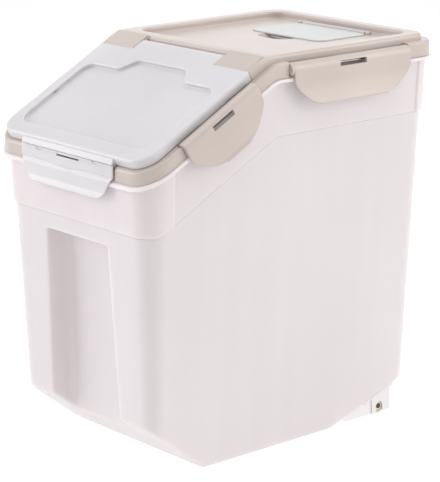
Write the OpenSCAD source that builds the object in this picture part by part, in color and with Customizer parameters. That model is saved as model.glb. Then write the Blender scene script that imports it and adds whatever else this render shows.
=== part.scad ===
// Pet food bin with a sloped flip lid, clamped main lid, desiccant
// compartment and two small rear wheels. Millimetres, +Z up, the sloped
// front faces -Y, origin at the middle of the base of the whole part.

/* [Tub] */
// width over the rim flange
flange_w = 230; // [226:1:234]
// length over the rim flange
flange_l = 357.5; // [352:0.5:362]
// corner radius of the rim flange in plan
corner_r = 28; // [25:1:31]
// height of the flat rear part of the rim
rim_z = 349.5; // [340:0.5:360]
// angle of the sloped front of the rim
slope_a = 28.2; // [26:0.2:30]
// wall thickness of the tub
wall = 2.6; // [2.2:0.1:2.8]
// inward lean of every wall per millimetre of height
draft = 0.042; // [0.038:0.001:0.046]
// how far the skirt under the rim reaches down
collar_h = 50; // [44:1:56]
// how far the skirt stands out from the wall at the corners
collar_step = 2.5; // [2:0.1:3]

/* [Front channel] */
// width of the channel at its upper end
chan_w = 89; // [80:1:96]
// height of the channel's upper end
chan_top = 209.5; // [195:0.5:214]
// depth of the channel
chan_d = 22; // [16:1:24]

/* [Base] */
// height at which the front undercut starts
nose_z = 49; // [42:1:54]
// distance from middle to the front end of the flat base
nose_y = 101; // [96:1:106]
// distance from middle to the rear end of the flat base
ramp_y = 57.7; // [52:0.1:62]
// angle of the rear ramp over the wheels
ramp_a = 18.6; // [17:0.1:20]

/* [Main lid] */
// height of the lid top over the flange
lid_h = 20.5; // [20.2:0.1:21]
// depth of the sunken top panel
panel_sink = 7; // [6:0.5:7.5]
// width of the raised border round the panel
border_w = 14; // [12:1:15]

/* [Flip lid] */
// opening angle the hinge allows
flip_open = 118; // [90:2:118]
// depth of the sunken panel in the flip lid
flip_sink = 4; // [3:0.5:4.5]
// half width of the mouth under the flip lid
mouth_w = 82; // [74:1:84]

/* [Latches] */
// length of the rear side latches
rear_latch_l = 149; // [120:1:149]
// length of the side latches on the slope
slope_latch_l = 93; // [80:1:93]
// how far the side latches reach below the flange
latch_drop = 25.5; // [22:0.5:28]
// width of the front latch
front_latch_w = 132; // [110:2:134]

/* [Compartment] */
// width of the compartment door
door_w = 102; // [92:1:104]
// depth of the desiccant basket
basket_h = 21; // [16:1:24]

/* [Wheels] */
// wheel diameter
wheel_d = 15.2; // [14:0.2:15.6]
// wheel width
wheel_w = 6; // [5:0.5:6.5]

/* [Hidden] */
cy = -32.3;             // crease of the rim, at flange level
rc0 = 24.5;               // crease radius at flange level
ysh = 2.0;             // moves the drawing so that its middle is at y = 0
ct = cos(slope_a); st = sin(slope_a); tt = tan(slope_a);
hwf = flange_w/2; hlf = flange_l/2;
hw0 = hwf - 7 - draft*rim_z;      // half width of the wall at z = 0
yr0 = hlf - 7 - draft*rim_z;      // rear wall at z = 0
zfr = rim_z - (cy + hlf)*tt;      // flange height at the front
yf0 = hlf - 7 - draft*zfr;        // front wall at z = 0
cs = collar_step;
nf = 14.5; ns = 11.1;             // band height on the flat, on the slope
pz = rim_z + lid_h - panel_sink;  // top of the sunken panel
hy = -4; hn = 15.5;               // flip hinge in the slope's own frame
gy = cy + hy*ct - hn*st; gz = rim_z + hy*st + hn*ct;
ax = hwf - 3.8; an = 7.2; ar = 6.3;  // side latch pin and shell radius
prl = 1.0;                        // side latch pin radius
fy = -(hlf - 0.7); fz = zfr + 14.0; // front latch pin
wx = hw0 - 0.9; wy = 123; wz = wheel_d/2 + 0.35; // wheel outer face, axle
flw = front_latch_w/2 + 0.8;      // half width of the front latch's notch
dz = pz + 1.6; dy = 146.5;        // compartment door hinge

// --- helpers -------------------------------------------------------------
function unit(v) = v/norm(v);
function corner(a, b, c, r, n) = r <= 0 ? [b] :
  let (u = unit(a - b), w = unit(c - b), h = acos(u*w)/2,
       m = b + unit(u + w)*r/sin(h), s = b + u*r/tan(h), e = b + w*r/tan(h),
       a1 = atan2(s[1]-m[1], s[0]-m[0]), a2 = atan2(e[1]-m[1], e[0]-m[0]),
       d = (a2 - a1 > 180) ? a2 - a1 - 360 : (a2 - a1 < -180) ? a2 - a1 + 360 : a2 - a1)
  [for (i = [0:n]) m + r*[cos(a1 + d*i/n), sin(a1 + d*i/n)]];
function rpoly(p, r, n = 6) = let (k = len(p))
  [for (i = [0:k-1]) each corner(p[(i+k-1)%k], p[i], p[(i+1)%k], r[i], n)];
function rrect(x0, x1, y0, y1, r, n = 8) =
  rpoly([[x0,y0],[x1,y0],[x1,y1],[x0,y1]], [r,r,r,r], n);
function crease(a, b) = cy + (a - b/ct)/tt;   // a over the flat, b over the slope
function line(a, b, y0, y1) = let (v = crease(a, b))
  concat([[y1, rim_z + a]], corner([y1, rim_z + a], [v, rim_z + a],
    [y0, rim_z - (cy - y0)*tt + b/ct], rc0 + (a + b)/2, 8), [[y0, rim_z - (cy - y0)*tt + b/ct]]);
function rev(p) = [for (i = [len(p)-1:-1:0]) p[i]];

// a side profile in Y and Z, drawn out along X
module along(x0, x1) translate([x0,0,0]) rotate([90,0,90]) linear_extrude(height = x1 - x0) children();
// layer that follows the rim, between two heights on the flat and on the slope
module layer(a0, b0, a1, b1, x0 = -140, x1 = 140, y0 = -220, y1 = 220)
  along(x0, x1) polygon(concat(line(a1, b1, y0, y1), rev(line(a0, b0, y0, y1))));
// upright block with the rim's outline moved out by o
module plan(o, z0 = 150, z1 = 400) translate([0,0,z0]) linear_extrude(height = z1 - z0)
  polygon(rrect(-hwf-o, hwf+o, -hlf-o, hlf+o, corner_r + o));
// the drafted tub shape moved out by o
module taper(o, z0 = -6, z1 = 376) hull() for (z = [z0, z1]) {
  r = 14.5 + 0.025*z + o; x = hw0 + draft*z + o - r; f = -(yf0 + draft*z + o) + r; b = yr0 + draft*z + o - r;
  for (p = [[x,f],[-x,f],[x,b],[-x,b]]) translate([p[0],p[1],z]) cylinder(r = r, h = 0.01, $fn = 32);
}
// frame of the slope: local y runs up the slope, local z stands out of it
module slope() translate([0,cy,rim_z]) rotate([slope_a,0,0]) children();
module pad(pts, n0, n1) translate([0,0,n0]) linear_extrude(height = n1 - n0) polygon(pts);
module xcyl(r, x0, x1) translate([x0,0,0]) rotate([0,90,0]) cylinder(r = r, h = x1 - x0, $fn = 64);
module ycyl(r, y0, y1) translate([0,y1,0]) rotate([90,0,0]) cylinder(r = r, h = y1 - y0, $fn = 64);
module box(a, b) translate(a) cube(b - a);
module put() translate([0, ysh, 0]) children();

// --- tub -----------------------------------------------------------------
// base profile moved in by t
module base_profile(t, top) {
  fa = atan((nose_z)/(yf0 + draft*nose_z - nose_y));
  ya = -nose_y + t*tan(fa/2); yb = ramp_y - t*tan(ramp_a/2);
  zb = t;
  along(-150, 150) polygon(rpoly([[ya - 120, zb + 120*tan(fa)], [ya, zb], [yb, zb],
    [yb + 160, zb + 160*tan(ramp_a)], [yb + 160, top], [ya - 120, top]], [0, 12 - t, 14 - t, 0, 0, 0], 5));
}
module channel(o) hull() for (k = [[chan_top + o, chan_w/2 + o], [12, chan_w/2 + 7 + o]]) {
  z = k[0]; a = k[1]; f = -(yf0 + draft*z);
  translate([0,0,z]) linear_extrude(height = 0.01) polygon(rpoly(
    [[-a - 1, f - 14], [a + 1, f - 14], [a, f], [a - 2.5, f + chan_d + o], [-a + 2.5, f + chan_d + o], [-a, f]],
    [0, 0, 0, 7 + o, 7 + o, 0], 6));
}
module bin_body() put() color([0.93,0.92,0.93]) difference() {
  union() {
    intersection() { taper(0); base_profile(0, 400); layer(-400, -400, 0, 0); }
    intersection() {
      union() {
        intersection() { taper(cs); union() { box([-140,-220,180], [140,-141.5,400]); box([-140,151.5,180], [140,220,400]); } }
        intersection() { taper(0.8); box([-140,-150,180], [140,160,400]); }
      }
      layer(-collar_h - 2, -collar_h + 1, 0, 0);
      box([-140,-220,zfr - 45], [140,220,400]);
    }
    intersection() { plan(0); layer(-3, -3, 0, 0); }
  }
  difference() {
    intersection() { taper(-wall); base_profile(5, 400); }
    channel(wall);
  }
  channel(0);
  // shallow relief under the base, leaving a foot all round
  translate([0,0,-1]) linear_extrude(height = 2.8)
    polygon(rrect(-hw0 + 13, hw0 - 13, -nose_y + 20, ramp_y - 14, 8));
  // room for the catch beads of the side latches
  for (s = [-1, 1]) {
    box([s > 0 ? hwf - 1 : -hwf - 1, 58.5 - 24, rim_z - 4], [s > 0 ? hwf + 1 : -hwf + 1, 58.5 + 24, rim_z + 1]);
    slope() box([s > 0 ? hwf - 1 : -hwf - 1, -69 - 18, -4], [s > 0 ? hwf + 1 : -hwf + 1, -69 + 18, 1]);
  }
}

// --- wheels --------------------------------------------------------------
function rz(y) = (y - ramp_y)*tan(ramp_a) - 0.02;   // underside of the rear ramp
module bracket() difference() {
  union() {
    along(wx - 16, wx + 0.4) polygon([[104, rz(104)], [142, rz(142)], [142, rz(142) - 2.4], [104, rz(104) - 2.4]]);
    along(wx - 13, wx - 7.2) polygon(rpoly([[113, rz(113)], [138, rz(138)], [138.5, 15], [128, 2.2], [118, 2.2], [112, 9]], [0, 0, 3, 4, 4, 3], 5));
    // side gusset in front of the wheel and fin behind it
    along(wx - 2.6, wx - 0.4) polygon([[74, rz(74)], [114.6, rz(114.6)], [114.6, 2], [80, 2]]);
    along(wx - 10, wx - 0.4) polygon([[132, rz(132)], [137.4, rz(137.4)], [137.4, 2.6], [132, 2.6]]);
  }
  translate([0, wy, wz]) xcyl(1.5, wx - 12, wx);
}
module wheel_bracket_right() put() color([0.90,0.89,0.90]) bracket();
module wheel_bracket_left() put() color([0.90,0.89,0.90]) mirror([1,0,0]) bracket();
module axle() put() color([0.72,0.72,0.74]) translate([0, wy, wz]) { xcyl(1.48, wx - 11.8, wx - 0.5); xcyl(2.6, wx - 0.9, wx - 0.1); }
module axle_right() axle();
module axle_left() mirror([1,0,0]) axle();
module wheel() put() color([0.88,0.85,0.80]) translate([wx - 0.3, wy, wz]) rotate([0,-90,0]) difference() {
  rotate_extrude($fn = 64) polygon(rpoly([[1.53,0.9],[5.2,0.9],[5.6,0],[wheel_d/2,0],[wheel_d/2,wheel_w],[1.53,wheel_w]],
    [0,0,0,1.2,1.2,0], 4));
  translate([0,0,-0.1]) cylinder(r = 2.95, h = 1.3, $fn = 48);
}
module wheel_right() wheel();
module wheel_left() mirror([1,0,0]) wheel();

// --- main lid ------------------------------------------------------------
px1 = hwf - 10; pxi = px1 - border_w;      // pillow and panel half widths
pyr = hlf - 10; pyi = pyr - border_w + 0.3;
lipy = gy + 5.2;                            // front face of the lip behind the flip hinge
mouth = rrect(-mouth_w, mouth_w, -131, -52, 14);
module notch_box(l, s, c, n0, n1) for (k = [[hwf - 10.5, n0, 10.4], [hwf - 9.6, 10.3, n1]])
  box([s > 0 ? k[0] : -hwf - 9, c - l/2 - 0.5, k[1]], [s > 0 ? hwf + 9 : -k[0], c + l/2 + 0.5, k[2]]);
module lugs(l, top) for (k = [-1, 1]) box([hwf - 10, k*(l/2 + 4) - 3.5, 0.8], [hwf - 2.1, k*(l/2 + 4) + 3.5, top]);
module rear_frame() translate([0, 58.5, rim_z]) children();
module slope_frame() slope() translate([0, -69, 0]) children();
module main_lid() put() color([0.83,0.79,0.76]) difference() {
  union() {
    difference() {
      union() {
        // deck and skirt
        intersection() { plan(-2); layer(nf - 3, ns - 2.7, nf, ns); }
        intersection() { difference() { plan(-2); plan(-4.5); } layer(0.35, 0.35, nf - 1, ns - 1); }
        // raised top and the two ears beside the flip hinge
        intersection() {
          plan(-10); layer(nf - 1.5, ns - 1.5, lid_h, lid_h);
          union() {
            box([-140, lipy, 300], [140, 220, 400]);
            for (s = [-1, 1]) translate([0, gy, gz]) xcyl(13.5, s > 0 ? 57.8 : -140, s > 0 ? 140 : -57.8);
          }
        }
      }
      // sunken panel
      translate([0,0,pz]) linear_extrude(height = 30) polygon(rrect(-pxi, pxi, lipy + border_w, pyi, 12));
      // hollow under the raised border
      difference() {
        translate([0,0,rim_z]) linear_extrude(height = lid_h - 2.5)
          polygon(rrect(-px1 + 2.5, px1 - 2.5, lipy + 4, pyr - 2.5, 15));
        translate([0,0,rim_z]) linear_extrude(height = 30)
          polygon(rrect(-pxi - 2.5, pxi + 2.5, lipy + border_w - 2.5, pyi + 2.5, 14));
      }
      // bed of the flip hinge
      translate([0, gy, gz]) xcyl(5.2, -57.8, 57.8);
      // notches for the side latches
      for (s = [-1, 1]) { rear_frame() notch_box(rear_latch_l, s, 0, -1, 19); slope_frame() notch_box(slope_latch_l, s, 0, -1, 19); }
      // notch for the front latch
      box([-flw, -hlf - 3, zfr - 2], [flw, -hlf + 6.8, zfr + 30]);
    }
    // wall behind the front latch and its ends
    along(-flw - 2, flw + 2) polygon([[-hlf + 6.8, zfr + 6.8*tt + 0.8], [-hlf + 8.5, zfr + 8.5*tt + 0.8], [-hlf + 8.5, zfr + 15.5], [-hlf + 6.8, zfr + 15.5]]);
    for (s = [-1, 1]) along(s > 0 ? flw : -flw - 2, s > 0 ? flw + 2 : -flw)
      polygon([[-hlf + 3.9, zfr + 3.9*tt + 0.8], [-hlf + 8.5, zfr + 8.5*tt + 0.8], [-hlf + 8.5, zfr + 12], [-hlf + 3.9, zfr + 12]]);
    // plug that reaches into the tub
    intersection() { difference() { taper(-4.6); taper(-7.8); } layer(-9, -9, nf - 1.5, ns - 0.6); }
    // lugs that carry the latch pins
    for (s = [0, 1]) mirror([s,0,0]) { rear_frame() lugs(rear_latch_l, nf - 1); slope_frame() lugs(slope_latch_l, ns - 1); }
    // raised rim of the mouth
    slope() difference() { pad(rrect(-mouth_w-2, mouth_w+2, -133, -50, 16), ns - 2.7, ns + 1.5); }
    // finger scoop under the front edge of the door
    box([-25, 62, pz - 9], [25, 83, pz - 1]);
    // knuckles of the door hinge
    for (s = [-1, 1]) translate([s*47, dy, dz]) { xcyl(2.3, -2.5, 2.5); box([-2.5,-2.3,-2.6], [2.5,2.3,0]); }
  }
  slope() translate([0,0,-8]) linear_extrude(height = 40) polygon(mouth);
  // compartment opening and door bed
  box([-44, 88, pz - 12], [44, 136, pz + 1]);
  translate([0,0,pz - 0.9]) linear_extrude(height = 6) polygon(rpoly([[-door_w/2 - 0.6, 80.4], [door_w/2 + 0.6, 80.4], [door_w/2 + 0.6, 142.5], [-door_w/2 - 0.6, 142.5]], [12.6,12.6,0,0], 6));
  box([-44.1, 142, pz - 0.9], [44.1, 149.4, pz + 4]);
  translate([0, 73, pz + 4.5]) xcyl(11.5, -21.5, 21.5);
  // pin holes
  translate([0, dy, dz]) xcyl(0.92, -60, 60);
  translate([0, gy, gz]) xcyl(2.02, -66.3, 66.3);
  for (s = [0, 1]) mirror([s,0,0]) {
    rear_frame() translate([ax,0,an]) ycyl(prl + 0.02, -rear_latch_l/2 - 6.5, rear_latch_l/2 + 6.5);
    slope_frame() translate([ax,0,an]) ycyl(prl + 0.02, -slope_latch_l/2 - 6.5, slope_latch_l/2 + 6.5);
  }
}
module lid_gasket() put() color([0.86,0.86,0.86]) intersection() {
  difference() { taper(-3.0); taper(-4.6); }
  layer(-7, -7, -4, -4);
}
module desiccant_basket() put() color([0.92,0.91,0.90]) difference() {
  union() {
    translate([0,0,pz - 2.05 - basket_h]) linear_extrude(height = basket_h) polygon(rrect(-45.5, 45.5, 86.5, 137.5, 5));
    translate([0,0,pz - 3.6]) linear_extrude(height = 1.55) polygon(rrect(-50, 50, 84, 141, 6));
  }
  translate([0,0,pz - 0.45 - basket_h]) linear_extrude(height = basket_h + 2) polygon(rrect(-43.9, 43.9, 88.1, 135.9, 4));
  for (i = [-4:4]) box([i*9 - 1.5, 94, pz - 5 - basket_h], [i*9 + 1.5, 130, pz + 1 - basket_h]);
}
module compartment_door() put() color([0.93,0.93,0.93]) difference() {
  union() {
    translate([0,0,pz - 0.5]) linear_extrude(height = 2.4) polygon(rpoly([[-door_w/2, 81], [door_w/2, 81], [door_w/2, 142], [-door_w/2, 142]], [12,12,3,3], 6));
    for (s = [-1, 1]) { translate([s*30, dy, dz]) xcyl(2.1, -13.5, 13.5); box([s*30 - 13.5, 141, pz - 0.5], [s*30 + 13.5, dy, pz + 1.7]); }
    translate([0,0,pz - 2.6]) linear_extrude(height = 2.4) polygon(rrect(-43.2, 43.2, 88.8, 135.2, 4));
  }
  translate([0,0,pz - 3]) linear_extrude(height = 3) polygon(rrect(-41.4, 41.4, 90.6, 133.4, 3));
  translate([0, dy, dz]) xcyl(0.95, -60, 60);
}
module door_pin() put() color([0.72,0.72,0.74]) translate([0, dy, dz]) xcyl(0.9, -49.4, 49.4);

// --- flip lid ------------------------------------------------------------
fo = [[-px1, -154.3], [px1, -154.3], [px1, hy - 6], [57.3, hy - 6], [57.3, hy], [-57.3, hy], [-57.3, hy - 6], [-px1, hy - 6]];
fi = [[-px1+2.2, -152.1], [px1-2.2, -152.1], [px1-2.2, -20.4], [55.1, -20.4], [55.1, hy - 3.5], [-55.1, hy - 3.5], [-55.1, -20.4], [-px1+2.2, -20.4]];
function sunk(o) = let (w = px1 - 13.5 + o, f = -138 - o, r = -46.5 + o, c = -29.8 + o)
  rpoly([[-w, f], [w, f], [w, r], [46 + o, r], [34 + o, c], [-34 - o, c], [-46 - o, r], [-w, r]], [13+o, 13+o, 12+o, 9-o, 9+o, 9+o, 9-o, 12+o], 6);
module flip_lid() put() color([0.92,0.91,0.93]) difference() {
  union() {
    slope() difference() {
      union() {
        difference() { pad(rpoly(fo, [20,20,0,0,0,0,0,0], 8), ns + 0.4, lid_h - 0.2); pad(rpoly(fi, [18,18,3,3,3,3,3,3], 8), ns - 1, lid_h - 2.4); }
        pad(sunk(2.2), lid_h - flip_sink - 2.4, lid_h - 0.2);
      }
      pad(sunk(0), lid_h - flip_sink - 0.2, lid_h + 2);
      for (s = [-1, 1]) translate([0, hy, hn]) xcyl(14.1, s > 0 ? 57.3 : -130, s > 0 ? 130 : -57.3);
    }
    translate([0, gy, gz]) xcyl(4.6, -57.3, 57.3);
    // lugs that carry the front latch
    for (s = [-1, 1]) translate([s*41, 0, 0]) hull() {
      translate([0, fy, fz]) xcyl(1.05, -3, 3);
      slope() box([-3, -154.1, ns + 0.6], [3, -152.3, ns + 4]);
    }
  }
  translate([0, gy, gz]) { xcyl(2.05, 48, 60); xcyl(2.05, -60, -48); }
  translate([0, fy, fz]) xcyl(0.61, -60, 60);
}
module flip_gasket() put() color([0.86,0.86,0.86]) slope() difference() {
  pad(rrect(-mouth_w-5, mouth_w+5, -136, -47, 19), ns + 1.85, lid_h - flip_sink - 2.42);
  pad(rrect(-mouth_w-0.5, mouth_w+0.5, -131.5, -51.5, 14.5), ns, lid_h);
}
module flip_pin() put() color([0.72,0.72,0.74]) translate([0, gy, gz]) xcyl(2.0, 48.3, 66);
module flip_pin_right() flip_pin();
module flip_pin_left() mirror([1,0,0]) flip_pin();

// --- front latch ---------------------------------------------------------
module front_latch() put() color([0.93,0.93,0.95]) difference() {
  union() {
    intersection() {
      along(-70, 70) polygon([for (p = [[-1.15,1.3], [-1.15,-8.7], [-1.5,-9.7], [-2.5,-12], [-2.6,-15], [-2.6,-22], [-3.2,-26],
        [-4.7,-29.6], [-4.5,-30.3], [-3.9,-30.2], [-2.2,-26.6], [-1.2,-23.2], [-1.05,-20.5], [-1.05,-12.4], [-0.2,-11], [0.5,-9.8], [1.15,-9], [1.15,1.3], [0.6,1.8], [-0.6,1.8]]) [fy + p[0], fz + p[1]]]);
      rotate([90,0,0]) translate([0,0,150]) linear_extrude(height = 80)
        polygon(rpoly([[-front_latch_w/2, fz + 3], [-front_latch_w/2, fz - 8], [-50, fz - 27], [-43, fz - 30.6], [43, fz - 30.6], [50, fz - 27],
          [front_latch_w/2, fz - 8], [front_latch_w/2, fz + 3]], [0, 6, 8, 7, 7, 8, 6, 0], 6));
    }
  }
  // slot at the hinge, seats for the lugs and the pin's bore
  box([-16.5, fy - 4, fz - 1.2], [16.5, fy + 4, fz + 0.75]);
  for (s = [-1, 1]) box([s*41 - 3.4, fy - 4, fz - 1.4], [s*41 + 3.4, fy + 4, fz + 4]);
  translate([0, fy, fz]) xcyl(0.63, -60, 60);
}
module front_latch_pin() put() color([0.72,0.72,0.74]) translate([0, fy, fz]) xcyl(0.6, -55, 55);

// --- side latches --------------------------------------------------------
module side_latch(l, w2, d, sl) {
  h = l/2; lo = [[-h,14],[-h,-1],[-w2,-d],[w2,-d],[h,-1],[h,14]];
  translate([ax, 0, an]) difference() {
    union() {
      intersection() {
        rotate([90,0,0]) translate([0,0,-80]) linear_extrude(height = 160) polygon(concat(
          [for (i = [0:14]) ar*[cos(i*8), sin(i*8)]],
          [for (i = [14:-1:0]) (ar - 2.15)*[cos(i*8), sin(i*8)]],
          [[4.15,-17], [6.4,-an - d + 2.4], [8.6,-an - d], [10.2,-an - d], [8.8,-an - d + 2.6], [6.9,-19], [6.3,-14]]));
        rotate([0,90,0]) rotate([0,0,90]) translate([0,-an,-20]) linear_extrude(height = 60) polygon(rpoly(lo, [0,22,16,16,22,0], 7));
      }
      for (y = [-h + 1.6, -sl/2 - 3.5, sl/2 + 3.5, h - 1.6]) translate([0,y,0]) intersection() {
        ycyl(ar - 0.2, -1.6, 1.6); box([-7,-2,-7], [5,2,7]);
      }
      box([3.1, -14, -an - 6.6], [4.3, 14, -an - 4.2]);
    }
    ycyl(prl + 0.03, -h - 1, h + 1);
    box([2, -sl/2, -2.5], [8, sl/2, 2.4]);
  }
}
module rear_latch() rear_frame() side_latch(rear_latch_l, 56, latch_drop, 33);
module front_side_latch() slope_frame() side_latch(slope_latch_l, 22, latch_drop, 26);
module latch_right_rear() put() color([0.82,0.77,0.75]) rear_latch();
module latch_left_rear() put() color([0.82,0.77,0.75]) mirror([1,0,0]) rear_latch();
module latch_right_front() put() color([0.82,0.77,0.75]) front_side_latch();
module latch_left_front() put() color([0.82,0.77,0.75]) mirror([1,0,0]) front_side_latch();
module rear_pin() rear_frame() translate([ax,0,an]) ycyl(prl, -rear_latch_l/2 - 6.2, rear_latch_l/2 + 6.2);
module slope_pin() slope_frame() translate([ax,0,an]) ycyl(prl, -slope_latch_l/2 - 6.2, slope_latch_l/2 + 6.2);
module latch_pin_right_rear() put() color([0.72,0.72,0.74]) rear_pin();
module latch_pin_left_rear() put() color([0.72,0.72,0.74]) mirror([1,0,0]) rear_pin();
module latch_pin_right_front() put() color([0.72,0.72,0.74]) slope_pin();
module latch_pin_left_front() put() color([0.72,0.72,0.74]) mirror([1,0,0]) slope_pin();

bin_body();
wheel_bracket_right();
wheel_bracket_left();
wheel_right();
wheel_left();
axle_right();
axle_left();
main_lid();
lid_gasket();
desiccant_basket();
compartment_door();
door_pin();
flip_lid();
flip_gasket();
flip_pin_right();
flip_pin_left();
front_latch();
front_latch_pin();
latch_right_rear();
latch_right_front();
latch_left_rear();
latch_left_front();
latch_pin_right_rear();
latch_pin_right_front();
latch_pin_left_rear();
latch_pin_left_front();
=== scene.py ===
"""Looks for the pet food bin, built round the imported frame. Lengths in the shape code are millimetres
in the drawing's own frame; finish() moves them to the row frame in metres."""
import math

import bmesh
import bpy
import numpy as np
from mathutils import Matrix, Vector


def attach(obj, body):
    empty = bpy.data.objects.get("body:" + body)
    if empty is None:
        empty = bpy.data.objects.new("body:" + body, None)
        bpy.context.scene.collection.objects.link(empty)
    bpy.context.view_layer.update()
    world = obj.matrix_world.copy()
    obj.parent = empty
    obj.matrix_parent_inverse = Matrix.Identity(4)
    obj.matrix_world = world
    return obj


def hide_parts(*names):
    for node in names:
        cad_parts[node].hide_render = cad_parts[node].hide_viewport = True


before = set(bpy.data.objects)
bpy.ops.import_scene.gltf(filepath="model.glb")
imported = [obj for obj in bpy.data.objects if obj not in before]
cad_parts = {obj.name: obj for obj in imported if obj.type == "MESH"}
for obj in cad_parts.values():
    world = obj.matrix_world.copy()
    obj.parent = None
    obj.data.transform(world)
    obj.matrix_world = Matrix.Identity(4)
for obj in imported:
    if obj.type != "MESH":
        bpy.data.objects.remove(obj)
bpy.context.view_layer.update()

# ---------------------------------------------------------------- sizes
YSH = 2.0
SLOPE = math.radians(28.2)
CT, ST, TT = math.cos(SLOPE), math.sin(SLOPE), math.tan(SLOPE)
HW, HL, RIM, CY, DRAFT = 115.0, 178.75, 349.5, -32.3, 0.042
RC0 = 24.5
HW0 = HW - 7 - DRAFT * RIM
YR0 = HL - 7 - DRAFT * RIM
ZFR = RIM - (CY + HL) * TT
YF0 = HL - 7 - DRAFT * ZFR
NF, NS, LIDH = 14.5, 11.1, 20.5
PZ = RIM + LIDH - 7
HY, HN = -4.0, 15.5
GY, GZ = CY + HY * CT - HN * ST, RIM + HY * ST + HN * CT
AX, AN = HW - 3.8, 7.2
FY, FZ, FLW = -(HL - 0.7), ZFR + 14.0, 66.8
WX, WY, WZ = HW0 - 0.9, 123.0, 15.2 / 2 + 0.35
DZ, DY = PZ + 1.6, 146.5
PX1, PXI, PYR = 105.0, 91.0, 168.75
PYI = PYR - 14 + 0.3
LIPY = GY + 5.2


def layer(y, a, b):
    """height of a layer that follows the rim: a over the flat, b square to the slope"""
    y = np.asarray(y, float)
    v = CY + (a - b / CT) / TT
    flat = np.full_like(y, RIM + a)
    slope = RIM - (CY - y) * TT + b / CT
    r = RC0 + (a + b) / 2
    z = np.where(y > v, flat, slope)
    if r > 0:
        t = r * math.tan(SLOPE / 2)
        inside = (y < v + t) & (y > v - t * CT)
        arc = RIM + a - r + np.sqrt(np.maximum(r * r - (y - v - t) ** 2, 0))
        z = np.where(inside, arc, z)
    return z


def on_slope(x, yp, n):
    return (x, CY + yp * CT - n * ST, RIM + yp * ST + n * CT)


# ---------------------------------------------------------------- mesh tools (millimetres)
def make(name, verts, faces):
    me = bpy.data.meshes.new(name)
    me.from_pydata([tuple(map(float, v)) for v in verts], [], [tuple(map(int, f)) for f in faces])
    bm = bmesh.new()
    bm.from_mesh(me)
    bmesh.ops.remove_doubles(bm, verts=bm.verts, dist=1e-4)
    bmesh.ops.recalc_face_normals(bm, faces=bm.faces)
    bm.to_mesh(me)
    bm.free()
    ob = bpy.data.objects.new(name, me)
    bpy.context.scene.collection.objects.link(ob)
    return ob


def evaluated(ob):
    dg = bpy.context.evaluated_depsgraph_get()
    me = bpy.data.meshes.new_from_object(ob.evaluated_get(dg))
    ob.modifiers.clear()
    old = ob.data
    ob.data = me
    bpy.data.meshes.remove(old)
    return ob


def csg(a, b, op):
    """a op b with the manifold solver; b is used up"""
    m = a.modifiers.new("csg", "BOOLEAN")
    m.operation, m.solver, m.object = op, "MANIFOLD", b
    evaluated(a)
    old = b.data
    bpy.data.objects.remove(b)
    bpy.data.meshes.remove(old)
    return a


def add(a, *bs):
    for b in bs:
        csg(a, b, "UNION")
    return a


def cut(a, *bs):
    for b in bs:
        csg(a, b, "DIFFERENCE")
    return a


def copy(ob):
    o = ob.copy()
    o.data = ob.data.copy()
    bpy.context.scene.collection.objects.link(o)
    return o


def mirror_x(ob):
    me = ob.data
    co = np.empty(len(me.vertices) * 3)
    me.vertices.foreach_get("co", co)
    co[0::3] *= -1
    me.vertices.foreach_set("co", co)
    me.flip_normals()
    return ob


def fillet(r, n=6, out=False):
    """(offset, drop) pairs of a quarter round at the top of a wall, from the wall to the top"""
    return [(-r * (1 - math.cos(t)), -r * (1 - math.sin(t))) for t in np.linspace(0, math.pi / 2, n + 1)]


def rings_to_solid(name, rings, ladder=False):
    """rings: list of (n,3) arrays with the same count; caps at both ends"""
    n = len(rings[0])
    verts = np.concatenate(rings)
    faces = []
    for k in range(len(rings) - 1):
        for i in range(n):
            j = (i + 1) % n
            faces.append((k * n + i, k * n + j, (k + 1) * n + j, (k + 1) * n + i))
    for base in (0, (len(rings) - 1) * n):
        if ladder:
            h = n // 2
            for i in range(h - 1):
                faces.append((base + i, base + i + 1, base + n - 2 - i, base + n - 1 - i))
        else:
            faces.append(tuple(base + i for i in range(n)))
    return make(name, verts, faces)


YSUB = np.concatenate([np.linspace(-140, -56, 22), np.arange(-53, -14, 1.3), np.linspace(-10, 135, 30)])


def half_ring(hw, yf, yr, rf, rr, na=14):
    """right half of a rounded rectangle from front to rear"""
    a = np.linspace(-math.pi / 2, 0, na + 1)
    b = np.linspace(0, math.pi / 2, na + 1)
    return np.concatenate([
        np.stack([hw - rf + rf * np.cos(a), yf + rf + rf * np.sin(a)], 1),
        np.stack([np.full(len(YSUB), hw), YSUB], 1),
        np.stack([hw - rr + rr * np.cos(b), yr - rr + rr * np.sin(b)], 1)])


def full(h, z):
    p = np.column_stack([h, z])
    q = p[::-1].copy()
    q[:, 0] *= -1
    return np.concatenate([p, q])


def plan_solid(name, o, prof):
    """rim outline moved out by o; prof: (offset, a, b)"""
    rings = []
    for d, a, b in prof:
        h = half_ring(HW + o + d, -HL - o - d, HL + o + d, 28 + o + d, 28 + o + d)
        rings.append(full(h, layer(h[:, 1], a, b)))
    return rings_to_solid(name, rings, True)


def rect_solid(name, x, yf, yr, rf, rr, prof, flat=False):
    rings = []
    for d, a, b in prof:
        h = half_ring(x + d, yf - d, yr + d, rf + d, rr + d)
        z = np.full(len(h), a) if flat else layer(h[:, 1], a, b)
        rings.append(full(h, z))
    return rings_to_solid(name, rings, True)


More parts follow.
